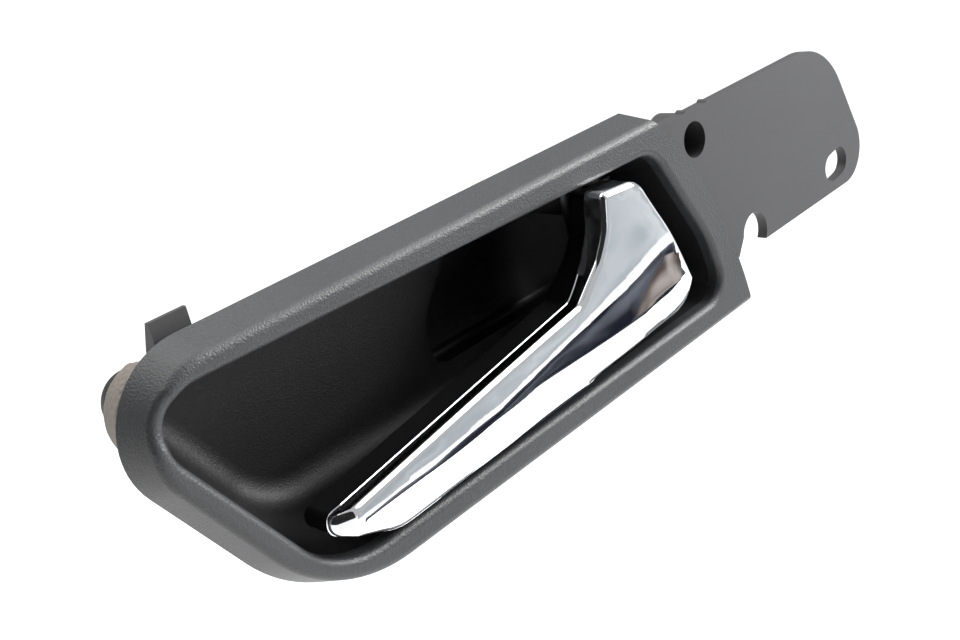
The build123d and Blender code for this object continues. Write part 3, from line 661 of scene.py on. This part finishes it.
def mottled_matt(name, low, high, scale):
    """A dull material with soft patches, for a card that shows in the chrome."""
    made = Recipe(name)
    patches = noise_node(made.tree, made.place, scale, 3.0)
    made.blend(patches, low, high, "Base Color", 0.42, 0.68)
    made.fixed(Roughness=DULL, Specular_IOR_Level=0.0)
    return made.material


class HANDLE_OT_stage(bpy.types.Operator):
    """Sets up the pale floor, the soft lights, the cards for the chrome to reflect, and the camera"""

    bl_idname = "handle.stage"
    bl_label = "Stage"

    def execute(self, context):
        scene = context.scene
        deselect()
        bpy.ops.mesh.primitive_plane_add(size=30, location=(0, 0, FLOOR_Z))
        floor = context.object
        floor.name = "studio_floor"
        floor.data.materials.append(plain_matt("Studio floor", (0.96, 0.96, 0.96)))

        world = bpy.data.worlds.new("Studio")
        world.use_nodes = True
        backdrop = world.node_tree.nodes["Background"]
        backdrop.inputs["Color"].default_value = (0.985, 0.99, 1.0, 1)
        backdrop.inputs["Strength"].default_value = 0.55
        scene.world = world

        middle = placed(0, 0, -8)
        bpy.ops.object.light_add(type="SUN", location=middle + SUN_FROM)
        sun = context.object
        sun.name = "tent_light"
        sun.data.energy = 2.7
        sun.data.angle = math.radians(55)
        aimed(sun, middle)
        softbox("side", middle + Vector((0.82, -0.58, 0.30)), middle, (0.5, 0.3), 13)
        softbox("top", middle + Vector((-0.1, 0.5, 1.2)), middle, (1.4, 0.8), 12)
        dark = mottled_matt("Dark card", (0.012, 0.014, 0.022), (0.16, 0.17, 0.20), 9.0)
        card("dark_card", middle, [(26, -50), (64, -37), (70, -17), (30, -23)], 0.8, dark)
        brown = mottled_matt("Brown card", (0.10, 0.07, 0.055), (0.55, 0.50, 0.47), 14.0)
        card("brown_card", middle, [(58, -30), (66, -28), (67, -21), (59, -22)], 0.7, brown)
        pale = mottled_matt("Pale card", (0.42, 0.45, 0.47), (0.66, 0.69, 0.70), 7.0)
        card("pale_card", middle, [(8, -17), (70, -12), (70, 4), (8, -1)], 0.85, pale)
        lower = mottled_matt("Lower card", (0.48, 0.49, 0.48), (0.60, 0.60, 0.59), 6.0)
        card("lower_card", middle, [(64, -70), (112, -62), (100, -33), (72, -43)], 0.9, lower)
        shade = card("camera_side", middle, [(-95, -8), (-8, -6), (-8, 50), (-95, 55)], 1.4,
                     plain_matt("Camera side", (0.015, 0.015, 0.015)))
        shade.visible_diffuse = True

        bpy.ops.object.camera_add(location=(-0.23148, -0.16966, 0.07661))
        camera = context.object
        camera.rotation_euler = turned(Vector((0.61772, 0.69685, -0.36445)),
                                       Vector((0.40461, 0.11576, 0.90713)))
        camera.data.lens = 44.66
        camera.data.sensor_width = 36
        camera.data.clip_start = 0.01
        camera.data.clip_end = 60
        scene.camera = camera
        scene.view_settings.view_transform = "Standard"
        deselect()
        return {"FINISHED"}


class HANDLE_PT_panel(bpy.types.Panel):
    """Lists the handle's pieces and their settings"""

    bl_idname = "HANDLE_PT_panel"
    bl_label = "Door handle"
    bl_space_type = "VIEW_3D"
    bl_region_type = "UI"
    bl_category = "Door handle"

    def draw(self, context):
        for group in (context.scene.lever_sizes, context.scene.handle_finishes):
            box = self.layout.box()
            for name in group.__annotations__:
                box.prop(group, name)
        for operator in OPERATORS:
            self.layout.operator(operator.bl_idname)


OPERATORS = [
    HANDLE_OT_plastic_finishes,
    HANDLE_OT_hardware_finishes,
    HANDLE_OT_lever_shell,
    HANDLE_OT_rattle_pad,
    HANDLE_OT_stage,
]
GROUPS = [LeverSizes, HandleFinishes]


def register():
    for cls in (*GROUPS, *OPERATORS, HANDLE_PT_panel):
        bpy.utils.register_class(cls)
    bpy.types.Scene.lever_sizes = bpy.props.PointerProperty(type=LeverSizes)
    bpy.types.Scene.handle_finishes = bpy.props.PointerProperty(type=HandleFinishes)


def unregister():
    del bpy.types.Scene.lever_sizes
    del bpy.types.Scene.handle_finishes
    for cls in (HANDLE_PT_panel, *reversed(OPERATORS), *reversed(GROUPS)):
        bpy.utils.unregister_class(cls)


def main():
    register()
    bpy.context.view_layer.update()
    make_moulded_grain()
    make_handling_marks()
    look = bpy.context.scene.handle_finishes
    chrome_plate("Bright chrome", look.chrome, 0.03)
    foam_felt("Foam felt", look.pad)
    bpy.ops.handle.plastic_finishes()
    bpy.ops.handle.hardware_finishes()
    bpy.ops.handle.lever_shell()
    bpy.ops.handle.rattle_pad()
    bpy.ops.handle.stage()


if __name__ == "__main__":
    main()
